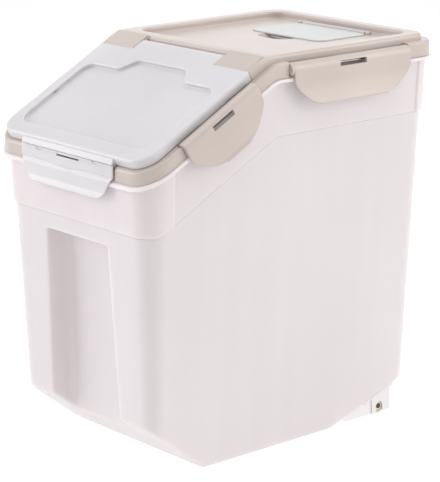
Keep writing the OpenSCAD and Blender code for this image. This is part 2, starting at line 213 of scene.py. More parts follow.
def poly_round(pts, radii, n=8):
    out = []
    k = len(pts)
    for i in range(k):
        a, b, c = (np.array(pts[(i - 1) % k], float), np.array(pts[i], float), np.array(pts[(i + 1) % k], float))
        r = radii[i]
        if r <= 1e-6:
            out.append(b)
            continue
        u, w = (a - b) / np.linalg.norm(a - b), (c - b) / np.linalg.norm(c - b)
        h = math.acos(max(-1, min(1, float(u @ w)))) / 2
        m = b + (u + w) / np.linalg.norm(u + w) * r / math.sin(h)
        s, e = b + u * r / math.tan(h), b + w * r / math.tan(h)
        a1, a2 = math.atan2(*(s - m)[::-1]), math.atan2(*(e - m)[::-1])
        d = (a2 - a1 + math.pi) % (2 * math.pi) - math.pi
        out += [m + r * np.array([math.cos(a1 + d * t / n), math.sin(a1 + d * t / n)]) for t in range(n + 1)]
    return np.array(out)


def rect(x0, x1, y0, y1, r, n=10):
    return poly_round([(x0, y0), (x1, y0), (x1, y1), (x0, y1)], [r] * 4, n)


def pad(name, outline, prof, where=lambda x, y, n: (x, y, n)):
    """outline: function of an offset to a closed 2-D outline; prof: (offset, height)"""
    rings = [np.array([where(x, y, n) for x, y in outline(d)]) for d, n in prof]
    return rings_to_solid(name, rings)


def hull2(pts):
    """convex outline round 2-D points"""
    pts = sorted((round(float(a), 6), round(float(b), 6)) for a, b in pts)
    out = []
    for run in (pts, pts[::-1]):
        h = []
        for p in run:
            while len(h) > 1 and (h[-1][0] - h[-2][0]) * (p[1] - h[-2][1]) - (h[-1][1] - h[-2][1]) * (p[0] - h[-2][0]) <= 1e-9:
                h.pop()
            h.append(p)
        out += h[:-1]
    return out


def extrude_x(name, pts, x0, x1):
    """a (y, z) outline drawn out along X"""
    return rings_to_solid(name, [np.array([(x, y, z) for y, z in pts]) for x in (x0, x1)])


def cylinder_x(name, r, x0, x1, y, z, n=64, bev=0.0):
    prof = [(x0, r - bev), (x0 + bev * 0.3, r - bev * 0.3), (x0 + bev, r), (x1 - bev, r), (x1 - bev * 0.3, r - bev * 0.3), (x1, r - bev)] if bev else [(x0, r), (x1, r)]
    t = np.linspace(0, 2 * math.pi, n, endpoint=False)
    return rings_to_solid(name, [np.array([(x, y + q * math.cos(a), z + q * math.sin(a)) for a in t]) for x, q in prof])


def box(name, lo, hi, bev=0.0, where=lambda x, y, n: (x, y, n)):
    x0, y0, z0 = lo
    x1, y1, z1 = hi
    if bev:
        o = lambda d: rect(x0 - d, x1 + d, y0 - d, y1 + d, max(bev + d, 0.02), 4)
        f = fillet(bev, 3)
        return pad(name, o, [(d, z0 - z) for d, z in f[::-1]] + [(d, z1 + z) for d, z in f], where)
    o = lambda d: [(x0, y0), (x1, y0), (x1, y1), (x0, y1)]
    return pad(name, o, [(0, z0), (0, z1)], where)


def retile(bm, step):
    """even triangles on the flats, so that the shading is clean"""
    bmesh.ops.dissolve_limit(bm, angle_limit=math.radians(0.06), verts=bm.verts, edges=bm.edges)
    bmesh.ops.triangulate(bm, faces=bm.faces)
    for k in range(6):
        flat = [e for e in bm.edges if len(e.link_faces) == 2 and e.calc_face_angle(9.0) < math.radians(0.4)]
        bmesh.ops.beautify_fill(bm, faces=bm.faces, edges=flat, method="ANGLE")
        long = [e for e in bm.edges if e.calc_length() > step]
        if k == 5 or not long:
            break
        bmesh.ops.subdivide_edges(bm, edges=long, cuts=1)
        bmesh.ops.triangulate(bm, faces=[f for f in bm.faces if len(f.verts) > 3])


def finish(ob, mat, body, nodes, sharp=34, step=9.0):
    me = ob.data
    bm = bmesh.new()
    bm.from_mesh(me)
    bmesh.ops.remove_doubles(bm, verts=bm.verts, dist=0.003)
    bmesh.ops.dissolve_degenerate(bm, edges=bm.edges, dist=0.003)
    if step:
        retile(bm, step)
    for v in bm.verts:
        v.co = Vector((v.co.x, v.co.y + YSH, v.co.z)) * 0.001
    for f in bm.faces:
        f.smooth = True
    bm.to_mesh(me)
    bm.free()
    me.set_sharp_from_angle(angle=math.radians(sharp))
    w = ob.modifiers.new("normals", "WEIGHTED_NORMAL")
    w.keep_sharp = True
    me.materials.clear()
    me.materials.append(mat)
    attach(ob, body)
    if nodes:
        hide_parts(*nodes)
    return ob


# ---------------------------------------------------------------- tub
def chan_half(z):
    return 44.5 + 7 * (209.5 - np.minimum(z, 209.5)) / (209.5 - 12)


BASE_OUT = poly_round([(-250, 149 * math.tan(math.atan(49 / (YF0 + DRAFT * 49 - 101)))), (-101, 0), (57.7, 0), (250, 192.3 * math.tan(math.radians(18.6)))], [0, 12, 14, 0], 10)


def base_z(y, t):
    fa = math.atan(49 / (YF0 + DRAFT * 49 - 101))
    ra = math.radians(18.6)
    ya, yb = -101 + t * math.tan(fa / 2), 57.7 - t * math.tan(ra / 2)
    p = poly_round([(ya - 150, t + 150 * math.tan(fa)), (ya, t), (yb, t), (yb + 190, t + 190 * math.tan(ra))], [0, 12 - t, 14 - t, 0], 10)
    return np.interp(y, p[:, 0], p[:, 1])


def build_tub():
    K, P = [], []                       # column kind and parameters, right half from front to rear
    for t in np.linspace(0, 1, 7):
        K.append(0), P.append((t, 22.0))
    for a in np.linspace(12, 84, 7):
        a = math.radians(a)
        K.append(1), P.append((10.2 - 8 * math.sin(a), 14 + 8 * math.cos(a)))
    for q in (0.72, 0.42, 0.16):
        K.append(1), P.append((0.35 + 1.9 * q, 1.8 + 12.4 * q))
    for a in np.linspace(8, 90, 5):
        a = math.radians(a)
        K.append(1), P.append((0.2 - 2.0 * (1 - math.cos(a)), 2.0 * (1 - math.sin(a))))
    for t in np.linspace(0, 1, 9)[1:-1]:
        K.append(2), P.append((t, 0))
    nface = len(K)
    NA = 20
    for a in np.linspace(-90, 0, NA + 1):
        K.append(3), P.append((math.radians(a), 0))
    side = [-144.6, -143.5, -142.9, -142.3, -141.7, -141.1, -139.8, -138.2] + list(np.arange(-135, 137, 2.6)) + [138.5, 140.2]
    for y in side:
        K.append(4), P.append((y, 0))
    for a in np.linspace(0, 90, NA + 1):
        K.append(5), P.append((math.radians(a), 0))
    for t in np.linspace(1, 0, nface + 1)[1:]:
        K.append(6), P.append((t, 0))
    K, P = np.array(K), np.array(P)
    n = len(K)

    def xy(z, o, k=1.0):
        z = np.broadcast_to(np.asarray(z, float), (n,))
        o = np.broadcast_to(np.asarray(o, float), (n,))
        r = np.maximum(14.5 + 0.025 * z + o, 0.5)
        hx, f, b = HW0 + DRAFT * z + o, -(YF0 + DRAFT * z + o), YR0 + DRAFT * z + o
        a = chan_half(z) - o
        p, q = P[:, 0], P[:, 1]
        x = np.select([K == 0, K == 1, K == 2, K == 3, K == 4, K == 5, K == 6],
                      [p * (a - 10.5), a - p, a + 1.8 + p * (hx - r - a - 1.8), hx - r + r * np.cos(p), hx, hx - r + r * np.cos(p), p * (hx - r)])
        y = np.select([K <= 1, K == 2, K == 3, K == 4, K == 5, K == 6],
                      [f + q * k, f, f + r + r * np.sin(p), p, b - r + r * np.sin(p), b])
        return x, y

    def flange(o):
        hx, f, b, r = HW + o, -HL - o, HL + o, 28 + o
        p = P[:, 0]
        wide = np.select([K == 0, K == 1, K == 2], [p * 34, 44.5 - p, 46.3 + p * (hx - r - 46.3)], 0)
        x = np.select([K <= 2, K == 3, K == 4, K == 5, K == 6], [wide, hx - r + r * np.cos(p), np.full(n, hx), hx - r + r * np.cos(p), p * (hx - r)])
        y = np.select([K <= 2, K == 3, K == 4, K == 5, K == 6], [np.full(n, f), f + r + r * np.sin(p), p, b - r + r * np.sin(p), np.full(n, b)])
        # clearance for the catch beads of the side latches
        sy = (y - CY) / CT
        near = ((y > 34) & (y < 83)) | ((sy > -87.5) & (sy < -50.5))
        x = np.where((K == 4) & near, np.minimum(x, HW - 1.0 + min(o, 0)), x)
        return x, y

    post = np.select([K <= 3, K == 4, K == 5, K == 6], [2.5, 0, 2.5, 2.5], 0).astype(float)
    ys = P[:, 0]
    ramp = np.interp(ys, [-143.5, -141.1], [2.5, 0.8])
    post = np.where(K == 4, ramp, post)
    post = np.where(K == 5, np.interp(P[:, 0], [0, 0.09, 0.16], [0.8, 0.8, 2.5]), post)

    def low(o, t):
        x, y = xy(30, o)
        for _ in range(4):
            z = base_z(y, t)
            x, y = xy(z, o)
        return z

    zb = low(0, 0)

    def on(zf, o, k=1.0):
        x, y = xy(200, o, k)
        for _ in range(4):
            z = zf(y)
            x, y = xy(z, o, k)
        return np.column_stack([x, y, z])

    def fixed(z, o, k=1.0):
        z = np.broadcast_to(np.asarray(z, float), (n,))
        x, y = xy(z, o, k)
        return np.column_stack([x, y, z])

    zc = np.maximum(on(lambda y: layer(y, -52, -49), 0, 0)[:, 2], ZFR - 45)
    zu = lambda y: layer(y, -3, -3)
    ztop = on(zu, 0)[:, 2]

    def anchor(z0, top):
        front = K <= 2
        fr = (top - z0[nface]) / (zc[nface] - z0[nface])
        return np.where(front, top, z0 + (zc - z0) * fr)

    rings = []
    R = 2.4
    for t in np.linspace(90, 0, 7):
        t = math.radians(t)
        o = -R * (1 - math.cos(t))
        h = R * (1 - math.sin(t))
        x, y = xy(zb, o)
        for _ in range(4):
            z = base_z(y, 0) + h
            x, y = xy(z, o)
        rings.append(np.column_stack([x, y, z]))
    z0 = rings[-1][:, 2]
    zm = anchor(zb, 209.5)
    for t in np.linspace(0, 1, 26)[1:]:
        rings.append(fixed(z0 + (zm - 1.8 - z0) * t, 0))
    for dz_, k in ((-0.7, 0.985), (-0.15, 0.93), (0.0, 0.86), (0.05, 0.10), (0.35, 0.035), (1.1, 0.0)):
        rings.append(fixed(zm + dz_, 0, k))
    for t in np.linspace(0, 1, 7)[1:]:
        rings.append(fixed(zm + 1.1 + (zc - 1.7 - zm - 1.1) * t, 0, 0))
    for dz_, o in ((-1.35, -0.12), (-1.05, -0.38), (-0.55, -0.42), (-0.25, -0.1)):
        rings.append(fixed(zc + dz_, o, 0))
    for dz_, k in ((-0.05, 0.4), (0.1, 0.8), (0.4, 1.0)):
        rings.append(fixed(zc + dz_, post * k, 0))
    for t in np.linspace(0, 1, 16)[1:]:
        rings.append(fixed(zc + 0.6 + (ztop - 0.8 - zc - 0.6) * t, post, 0))
    # underside, edge and top of the rim flange
    wall = on(zu, post, 0)
    for o, h in ((-3.5, -3), (-0.8, -3), (-0.25, -2.8), (0, -2.3), (0, -0.8), (-0.25, -0.2), (-0.8, 0), (-3.5, 0)):
        x, y = flange(o)
        rings.append(np.column_stack([x, y, layer(y, h, h)]))
    rings.append(on(lambda y: layer(y, 0, 0), -1.5, 0))
    rings.append(on(lambda y: layer(y, -0.25, -0.25), -2.2, 0))
    rings.append(on(lambda y: layer(y, -1, -1), -2.6, 0))
    # inside
    zi = rings[-1][:, 2]
    ai = anchor(low(-2.6, 5), 212.1)
    top_k = 0
    for t in np.linspace(0, 1, 10)[1:]:
        rings.append(fixed(zi + (ai + 1.0 - zi) * t, -2.6, 0))
    for dz_, k in ((0.3, 0.04), (0.05, 0.14), (-0.05, 0.88), (-0.4, 0.95), (-1.2, 1.0)):
        rings.append(fixed(ai + dz_, -2.6, k))
    RI = 8.0
    lo = []
    for t in np.linspace(0, 90, 7):
        t = math.radians(t)
        o = -2.6 - RI * (1 - math.cos(t))
        h = RI * (1 - math.sin(t))
        x, y = xy(40, o)
        for _ in range(4):
            z = base_z(y, 5) + h
            x, y = xy(z, o)
        lo.append(np.column_stack([x, y, z]))
    zl = lo[0][:, 2]
    for t in np.linspace(0, 1, 22)[1:-1]:
        rings.append(fixed(ai - 1.2 + (zl - ai + 1.2) * t, -2.6))
    rings += lo

    verts, faces = [], []
    N = 2 * n - 2

    def whole(h):
        left = h[1:-1][::-1].copy()
        left[:, 0] *= -1
        return np.concatenate([h, left])

    for h in rings:
        verts.append(whole(h))
    for k in range(len(rings) - 1):
        a = k * N
        for i in range(N):
            j = (i + 1) % N
            faces.append((a + i, a + j, a + N + j, a + N + i))
    count = N * len(rings)
    # bottoms, inside and outside, filled between the four corners
    c1 = nface + NA // 2
    c2 = n - 1 - c1

    def ring_index(i, right):
        return i if right or i in (0, n - 1) else N - i

    for level, t in ((0, 0), (len(rings) - 1, 5)):
        ring = verts[level]
        idx = lambda i, right: ring_index(i, right)
        front = [idx(i, False) for i in range(c1, 0, -1)] + [idx(i, True) for i in range(0, c1 + 1)]
        rear = [idx(i, False) for i in range(c2, n - 1)] + [n - 1] + [idx(i, True) for i in range(n - 2, c2 - 1, -1)]
        right = [idx(i, True) for i in range(c1, c2 + 1)]
        left = [idx(i, False) for i in range(c1, c2 + 1)]
        F, B, Rt, L = (ring[q][:, :2] for q in (front, rear, right, left))
        nu, nv = len(F), len(Rt)
        u = np.linspace(0, 1, nu)[:, None]
        gid = np.zeros((nu, nv), int)
        gid[:, 0], gid[:, -1], gid[-1, :], gid[0, :] = front, rear, right, left
        gid += level * N
        pts = []
        for j in range(1, nv - 1):
            v = j / (nv - 1)
            p = (1 - v) * F + v * B + (1 - u) * L[j] + u * Rt[j] - ((1 - u) * (1 - v) * F[0] + u * (1 - v) * F[-1] + (1 - u) * v * B[0] + u * v * B[-1])
            for i in range(1, nu - 1):
                gid[i, j] = count
                count += 1
                pts.append((p[i, 0], p[i, 1], float(base_z(p[i, 1], t))))
        verts_extra = np.array(pts)
        verts.append(verts_extra) if level else verts.append(verts_extra)
        for j in range(nv - 1):
            for i in range(nu - 1):
                faces.append((gid[i, j], gid[i + 1, j], gid[i + 1, j + 1], gid[i, j + 1]))
    # the two bottoms were numbered in the order in which they were added
    tub = make("tub", np.concatenate(verts), faces)
    # relief under the base, leaving the foot
    f = fillet(1.2, 4)
    relief = pad("relief", lambda d: rect(-HW0 + 13 - d, HW0 - 13 + d, -81 - d, 43.7 + d, 8 + d, 10), [(1.0, -1.0), (1.0, 0.0)] + [(0.3, 0.15), (0, 0.6), (0, 1.2), (-0.3, 1.65), (-0.8, 1.8)])
    cut(tub, relief)
    return tub


# ---------------------------------------------------------------- main lid
def taper_solid(name, o, a0, b0, a1, b1):
    rings = []
    for a, b in ((a0, b0), (a1, b1)):
        z = np.full(2, 320.0)
        h = None
        for _ in range(4):
            zz = z if h is not None else 330.0
            r = 14.5 + 0.025 * 320 + o
            h = half_ring(HW0 + DRAFT * 335 + o, -(YF0 + DRAFT * 280 + o), YR0 + DRAFT * 345 + o, r, r)
            z = layer(h[:, 1], a, b)
        x = h[:, 0] + DRAFT * (z - 335) * (h[:, 0] > 60)
        y = h[:, 1] + np.where(h[:, 1] < -130, -DRAFT * (z - 280), 0) + np.where(h[:, 1] > 140, DRAFT * (z - 345), 0)
        hh = np.column_stack([x, y])
        rings.append(full(hh, layer(y, a, b)))
    return rings_to_solid(name, rings, True)


def latch_notches():
    out = []
    for s in (1, -1):
        for x0, n0, n1 in ((HW - 10.5, -1, 10.4), (HW - 9.6, 10.3, 19)):
            xa, xb = sorted((s * x0, s * (HW + 9)))
            out.append(box("notch", (xa, 58.5 - 75, RIM + n0), (xb, 58.5 + 75, RIM + n1)))
            out.append(box("notch", (xa, -69 - 47, n0), (xb, -69 + 47, n1), where=on_slope))
    return out


def build_main_lid():
    R = 2.0
    top = [(o, NF + d, NS + d) for o, d in fillet(R, 6)]
    band = plan_solid("main_lid_body", -2, [(-0.6, 0.35, 0.35), (-0.17, 0.53, 0.53), (0, 0.95, 0.95)] + top)
    cut(band, plan_solid("in", -4.5, [(0, -6, -6), (0, NF - 4.2, NS - 3.9), (-0.35, NF - 3.35, NS - 3.05), (-1.2, NF - 3, NS - 2.7)]))
    # raised top
    R = 3.2
    pillow = plan_solid("pillow", -10, [(0, NF - 1.5, NS - 1.5)] + [(o, LIDH + d, LIDH + d) for o, d in fillet(R, 8)])
    # ears: everything in front of the big radius goes
    rho = 2.4
    cx = HY - math.sqrt((13.5 - rho) ** 2 - (LIDH - rho - HN) ** 2)
    cn = LIDH - rho
    a_end = math.atan2(cn - HN, cx - HY)
    prof = [(cx, LIDH + 0.001)]
    for a in np.linspace(math.pi / 2, a_end, 8)[1:]:
        prof.append((cx + rho * math.cos(a), cn + rho * math.sin(a)))
    for a in np.linspace(a_end, math.pi + 0.72, 16)[1:]:
        prof.append((HY + 13.5 * math.cos(a), HN + 13.5 * math.sin(a)))
    prof = [(cx, LIDH + 9)] + prof + [(prof[-1][0], 3), (-170, 3), (-170, LIDH + 9)]
    cut(pillow, extrude_x("front", [(CY + y * CT - n * ST, RIM + y * ST + n * CT) for y, n in prof], -140, 140))
    # between the ears the top ends in a rounded lip
    zt = float(layer(LIPY, LIDH, LIDH))
    lp = [(LIPY, 300.0)] + [(LIPY, zt - 1.9)]
    for a in np.linspace(0, math.radians(80), 6):
        lp.append((LIPY + 1.6 * (1 - math.cos(a)), zt - 1.9 + 1.75 * math.sin(a)))
    lp += [(LIPY + 2.2, zt + 0.12 + 4), (-200, zt + 4), (-200, 300)]
    cut(pillow, extrude_x("lip", lp, -57.8, 57.8))
    lid = add(band, pillow)
    # sunken panel
    cut(lid, rect_solid("sunk", PXI, LIPY + 14, PYI, 12, 12,
                        [(-1.6, PZ, 0), (-1.1, PZ + 0.1, 0), (-0.4, PZ + 0.6, 0), (-0.05, PZ + 1.4, 0), (0, PZ + 2.2, 0), (0, RIM + LIDH - 2.2, 0),
                         (0.17, RIM + LIDH - 1.35, 0), (0.64, RIM + LIDH - 0.64, 0), (1.35, RIM + LIDH - 0.17, 0), (2.2, RIM + LIDH, 0), (2.2, RIM + LIDH + 3, 0)], True))
    # hollow under the raised border
    hollow = rect_solid("hollow", PX1 - 2.5, LIPY + 4, PYR - 2.5, 15, 15, [(0, RIM, 0), (0, RIM + LIDH - 3.5, 0), (-0.8, RIM + LIDH - 2.6, 0)], True)
    cut(hollow, rect_solid("keep", PXI + 2.5, LIPY + 14 - 2.5, PYI + 2.5, 14, 14, [(0, RIM - 1, 0), (0, RIM + 30, 0)], True))
    cut(lid, hollow)
    cut(lid, cylinder_x("bed", 5.2, -57.8, 57.8, GY, GZ))
    cut(lid, *latch_notches())
    cut(lid, pad("frontgap", lambda d: rect(-FLW - d, FLW + d, -HL - 3, -HL + 6.8 + d, 1.0, 4), [(0, ZFR - 2), (0, ZFR + 30)]))
    y0, y1, y2 = -HL + 3.9, -HL + 6.8, -HL + 8.5
    zw = lambda y: ZFR + (y + HL) * TT + 0.8
    add(lid, extrude_x("backwall", [(y1, zw(y1)), (y2, zw(y2)), (y2, ZFR + 15.5), (y1, ZFR + 15.5)], -FLW - 2, FLW + 2))
    for s in (-1, 1):
        add(lid, extrude_x("endwall", [(y0, zw(y0)), (y2, zw(y2)), (y2, ZFR + 12), (y0, ZFR + 12)], *sorted((s * FLW, s * (FLW + 2)))))
    # plug, lugs, rim of the mouth, scoop, knuckles
    plug = taper_solid("plug", -4.6, -9, -9, NF - 2, NS - 1.5)
    cut(plug, taper_solid("plugin", -7.8, -12, -12, NF + 4, NS + 4))
    add(lid, plug)
    for s in (-1, 1):
        for k in (-1, 1):
            c = 58.5 + k * (149 / 2 + 4)
            xa, xb = sorted((s * (HW - 10), s * (HW - 2.1)))
            add(lid, box("lug", (xa, c - 3.5, RIM + 0.8), (xb, c + 3.5, RIM + NF - 1)))
            c = -69 + k * (93 / 2 + 4)
            add(lid, box("lug", (xa, c - 3.5, 0.8), (xb, c + 3.5, NS - 1), where=on_slope))
    add(lid, pad("mouthrim", lambda d: rect(-84 - d, 84 + d, -133 - d, -50 + d, 16 + d, 12), [(0, NS - 2.7)] + [(o, NS + 1.5 + d) for o, d in fillet(0.9, 4)], on_slope))
    add(lid, box("scoopbox", (-29, 62, PZ - 9.2), (19, 83, PZ - 1), 1.5))
    for s in (-1, 1):
        add(lid, cylinder_x("knuckle", 1.9, s * 47 - 2.5, s * 47 + 2.5, DY, DZ, 40, 0.4), box("kb", (s * 47 - 2.5, DY - 2.3, DZ - 2.6), (s * 47 + 2.5, DY + 2.3, DZ)))
    fl = [(0.0, -20), (0.0, NS + 0.5), (0.25, NS + 1.1), (1.0, NS + 1.5), (1.0, NS + 6)]
    cut(lid, pad("mouth", lambda d: rect(-82 - d, 82 + d, -131 - d, -52 + d, 14 + d, 12), fl, on_slope))
    cut(lid, pad("opening", lambda d: rect(-44 - d, 44 + d, 88 - d, 136 + d, 3 + d, 6), [(0, PZ - 12), (0, PZ + 1)]))
    dr = lambda d: poly_round([(-51.6 - d, 80.4 - d), (48.6 + d, 80.4 - d), (48.6 + d, 142.5 + d), (-51.6 - d, 142.5 + d)], [12.6 + d, 12.6 + d, 0.6 + d, 0.6 + d], 10)
    cut(lid, pad("doorbed", dr, [(-0.3, PZ - 0.9), (0, PZ - 0.6), (0, PZ - 0.3), (0.3, PZ), (0.3, PZ + 6)]))
    cut(lid, box("hingebed", (-44.1, 141.5, PZ - 0.9), (44.1, 149.4, PZ + 4)))
    # finger scoop: half an ellipsoid that deepens towards the door
    rr = []
    for p in np.linspace(-88, 0, 16):
        p = math.radians(p)
        rr.append(np.array([(-5.0 + 21.0 * math.cos(p) * (abs(math.cos(a)) ** 0.75) * math.copysign(1, math.cos(a)), 76.5 + 13.0 * math.cos(p) * (abs(math.sin(a)) ** 0.85) * math.copysign(1, math.sin(a)), PZ + 0.4 + 7.4 * math.sin(p))
                            for a in np.linspace(0, 2 * math.pi, 56, endpoint=False)]))
    for k, h in ((1.03, 0.9), (1.03, 4.0)):
        rr.append(np.array([((c[0] + 5) * k - 5, 76.5 + (c[1] - 76.5) * k, PZ + h) for c in rr[15]]))
    cut(lid, rings_to_solid("scoop", rr))
    # pin holes
    cut(lid, cylinder_x("h", 0.95, -60, 60, DY, DZ, 24), cylinder_x("h", 2.05, -66.3, 66.3, GY, GZ, 40))
    for s in (-1, 1):
        for l, c, where in ((149, 58.5, lambda x, y, n: (x, y, RIM + n)), (93, -69, on_slope)):
            t = np.linspace(0, 2 * math.pi, 24, endpoint=False)
            rings = [np.array([where(s * AX + 1.05 * math.cos(a), c + k * (l / 2 + 6.5), AN + 1.05 * math.sin(a)) for a in t]) for k in (-1, 1)]
            cut(lid, rings_to_solid("h", rings))
    return lid


# ---------------------------------------------------------------- flip lid
def flip_outline(d):
    x = PX1 + d
    return poly_round([(-x, -154.3 - d), (x, -154.3 - d), (x, HY - 6), (57.3, HY - 6), (57.3, HY), (-57.3, HY), (-57.3, HY - 6), (-x, HY - 6)],
                      [20 + d, 20 + d, 0, 0, 0, 0, 0, 0], 14)


def flip_inner(d):
    x = PX1 - 2.2 + d
    return poly_round([(-x, -152.1 - d), (x, -152.1 - d), (x, -20.4), (55.1, -20.4), (55.1, HY - 3.5), (-55.1, HY - 3.5), (-55.1, -20.4), (-x, -20.4)],
                      [18 + d, 18 + d, 2, 2, 2, 2, 2, 2], 10)


def sunk(o):
    w, f, r, c = PX1 - 13.5 + o, -138 - o, -46.5 + o, -29.8 + o
    return poly_round([(-w, f), (w, f), (w, r), (46 + o, r), (34 + o, c), (-34 - o, c), (-46 - o, r), (-w, r)],
                      [13 + o, 13 + o, 12 + o, 9 - o, 9 + o, 9 + o, 9 - o, 12 + o], 10)


def build_flip_lid():
    T = LIDH - 0.2
    lid = pad("flip_lid_body", flip_outline, [(-0.5, NS + 0.4), (-0.1, NS + 0.6), (0, NS + 1.0)] + [(o, T + d) for o, d in fillet(2.6, 8)], on_slope)
    cut(lid, pad("in", flip_inner, [(0, NS - 1), (0, LIDH - 3.6), (-0.35, LIDH - 2.75), (-1.2, LIDH - 2.4)], on_slope))
    add(lid, pad("floor", lambda d: sunk(2.2 + d), [(-0.8, LIDH - 6.4), (0, LIDH - 5.8), (0, T - 0.4)], on_slope))
    F = LIDH - 4.2
    cut(lid, pad("pocket", sunk, [(-1.4, F), (-0.9, F + 0.12), (-0.3, F + 0.6), (0, F + 1.4), (0, T - 1.2), (0.1, T - 0.75), (0.4, T - 0.32), (0.85, T - 0.08), (1.3, T), (1.3, T + 4)], on_slope))
    for s in (-1, 1):
        xa, xb = sorted((s * 57.3, s * 130))
        cut(lid, cylinder_x("gap", 14.1, xa, xb, GY, GZ, 128))
    add(lid, cylinder_x("barrel", 4.6, -57.3, 57.3, GY, GZ, 72, 0.5))
    for s in (-1, 1):
        neck = [on_slope(0, y, n)[1:] for y, n in ((-154.1, NS + 4), (-154.1, NS + 0.6), (-152.3, NS + 0.6), (-152.3, NS + 4))]
        t = [(FY + 1.04 * math.cos(q), FZ + 1.04 * math.sin(q)) for q in np.radians(np.arange(0, 360, 12))]
        add(lid, extrude_x("neck", hull2(neck + t), s * 41 - 3, s * 41 + 3))
        if s > 0:
            sk = [(FY + 2.5, FZ - 0.2), (FY + 3.6, FZ - 0.2)] + [on_slope(0, y, n)[1:] for y, n in ((-152.6, NS + 0.6), (-152.6, NS + 2.4), (-154.0, NS + 2.4))] + [(FY + 2.5, FZ + 1.6)]
            add(lid, extrude_x("skirt", hull2(sk), -65.2, 65.2))
            ap = [(FY - 0.85, FZ + 2.15), (FY - 0.95, FZ + 2.4), (FY - 0.9, FZ + 3.2), (FY + 0.7, FZ + 7.4), on_slope(0, -152.6, NS + 7)[1:], on_slope(0, -152.6, NS + 1.2)[1:], (FY + 1.4, FZ + 2.1), (FY - 0.6, FZ + 2.1)]
            add(lid, extrude_x("apron", hull2(ap), -65.2, 65.2))
        xa, xb = sorted((s * 48, s * 60))
        cut(lid, cylinder_x("h", 2.08, xa, xb, GY, GZ, 40))
    cut(lid, cylinder_x("h", 0.62, -60, 60, FY, FZ, 24))
    return lid


# ---------------------------------------------------------------- compartment door
def build_door():
    o = lambda d: poly_round([(-51 - d, 81 - d), (48 + d, 81 - d), (48 + d, 142 + d), (-51 - d, 142 + d)], [12 + d, 12 + d, 3 + d, 3 + d], 12)
    door = pad("compartment_door_body", o, [(-0.3, PZ - 0.5), (0, PZ - 0.2)] + [(q, PZ + 1.2 + d) for q, d in fillet(0.7, 5)])
    add(door, cylinder_x("b", 1.75, -43.5, 43.5, DY, DZ, 48, 0.3), box("b", (-43.5, 141, PZ - 0.3), (43.5, DY, PZ + 1.1)))
    r = lambda q: (lambda d: rect(-q - d, q + d, 88.8 + 43.2 - q - d, 135.2 - 43.2 + q + d, 4 + d, 6))
    add(door, pad("ring", r(43.2), [(-0.3, PZ - 2.6), (0, PZ - 2.3), (0, PZ - 0.2)]))
    cut(door, pad("ringin", r(41.4), [(0, PZ - 3.2), (0, PZ - 0.1)]))
    cut(door, cylinder_x("h", 0.98, -60, 60, DY, DZ, 24))
    return door


# ---------------------------------------------------------------- latches
def shell(name, outer, inner, half, where, ns=60, edge=1.1):
    """a bent strip: outer and inner are matching paths in the section plane; half(k) the half length at path point k"""
    outer, inner = np.array(outer, float), np.array(inner, float)
    mid = (outer + inner) / 2
    m = len(outer)
    d = np.array([0, 0.12, 0.35, 0.65, 1.0]) * edge
    t = np.sqrt(np.clip(1 - (1 - d / edge) ** 2, 0.02, 1))
    secs = []
    hk = np.array([half(k) for k in range(m)])
    for q, w in zip(d, t):
        secs.append((-(hk - q), w))
    for s in np.linspace(-1, 1, ns)[1:-1]:
        secs.append((s * (hk - edge), 1.0))
    for q, w in list(zip(d, t))[::-1]:
        secs.append((hk - q, w))
    rings = []
    for s, w in secs:
        o, i = mid + (outer - mid) * w, mid + (inner - mid) * w
        path = np.concatenate([np.column_stack([o, s]), np.column_stack([i[::-1], s[::-1]])])
        rings.append(np.array([where(*p) for p in path]))
    n = 2 * m
    verts = np.concatenate(rings)
    faces = []
    for k in range(len(rings) - 1):
        for i in range(n):
            j = (i + 1) % n
            faces.append((k * n + i, k * n + j, (k + 1) * n + j, (k + 1) * n + i))
    for base in (0, (len(rings) - 1) * n):
        for i in range(m - 1):
            faces.append((base + i, base + i + 1, base + n - 2 - i, base + n - 1 - i))
    return make(name, verts, faces)


def smooth_path(pts, step=0.6, it=2):
    p = np.array(pts, float)
    for _ in range(it):
        q = [p[0]]
        for a, b in zip(p[:-1], p[1:]):
            q += [a * 0.75 + b * 0.25, a * 0.25 + b * 0.75]
        q.append(p[-1])
        p = np.array(q)
    s = np.concatenate([[0], np.cumsum(np.linalg.norm(np.diff(p, axis=0), axis=1))])
    k = max(2, int(s[-1] / step))
    u = np.linspace(0, s[-1], k + 1)
    return np.column_stack([np.interp(u, s, p[:, i]) for i in range(2)])


def offset_path(p, t):
    d = np.gradient(p, axis=0)
    d /= np.linalg.norm(d, axis=1)[:, None]
    return p + np.column_stack([d[:, 1], -d[:, 0]]) * t


def round_end(outer, inner, r=0.9):
    """draws the last points of a strip together"""
    mid = (outer + inner) / 2
    s = np.concatenate([[0], np.cumsum(np.linalg.norm(np.diff(mid, axis=0), axis=1))])
    d = s[-1] - s
    w = np.sqrt(np.clip(1 - (1 - np.clip(d / r, 0, 1)) ** 2, 0.03, 1))[:, None]
    return mid + (outer - mid) * w, mid + (inner - mid) * w


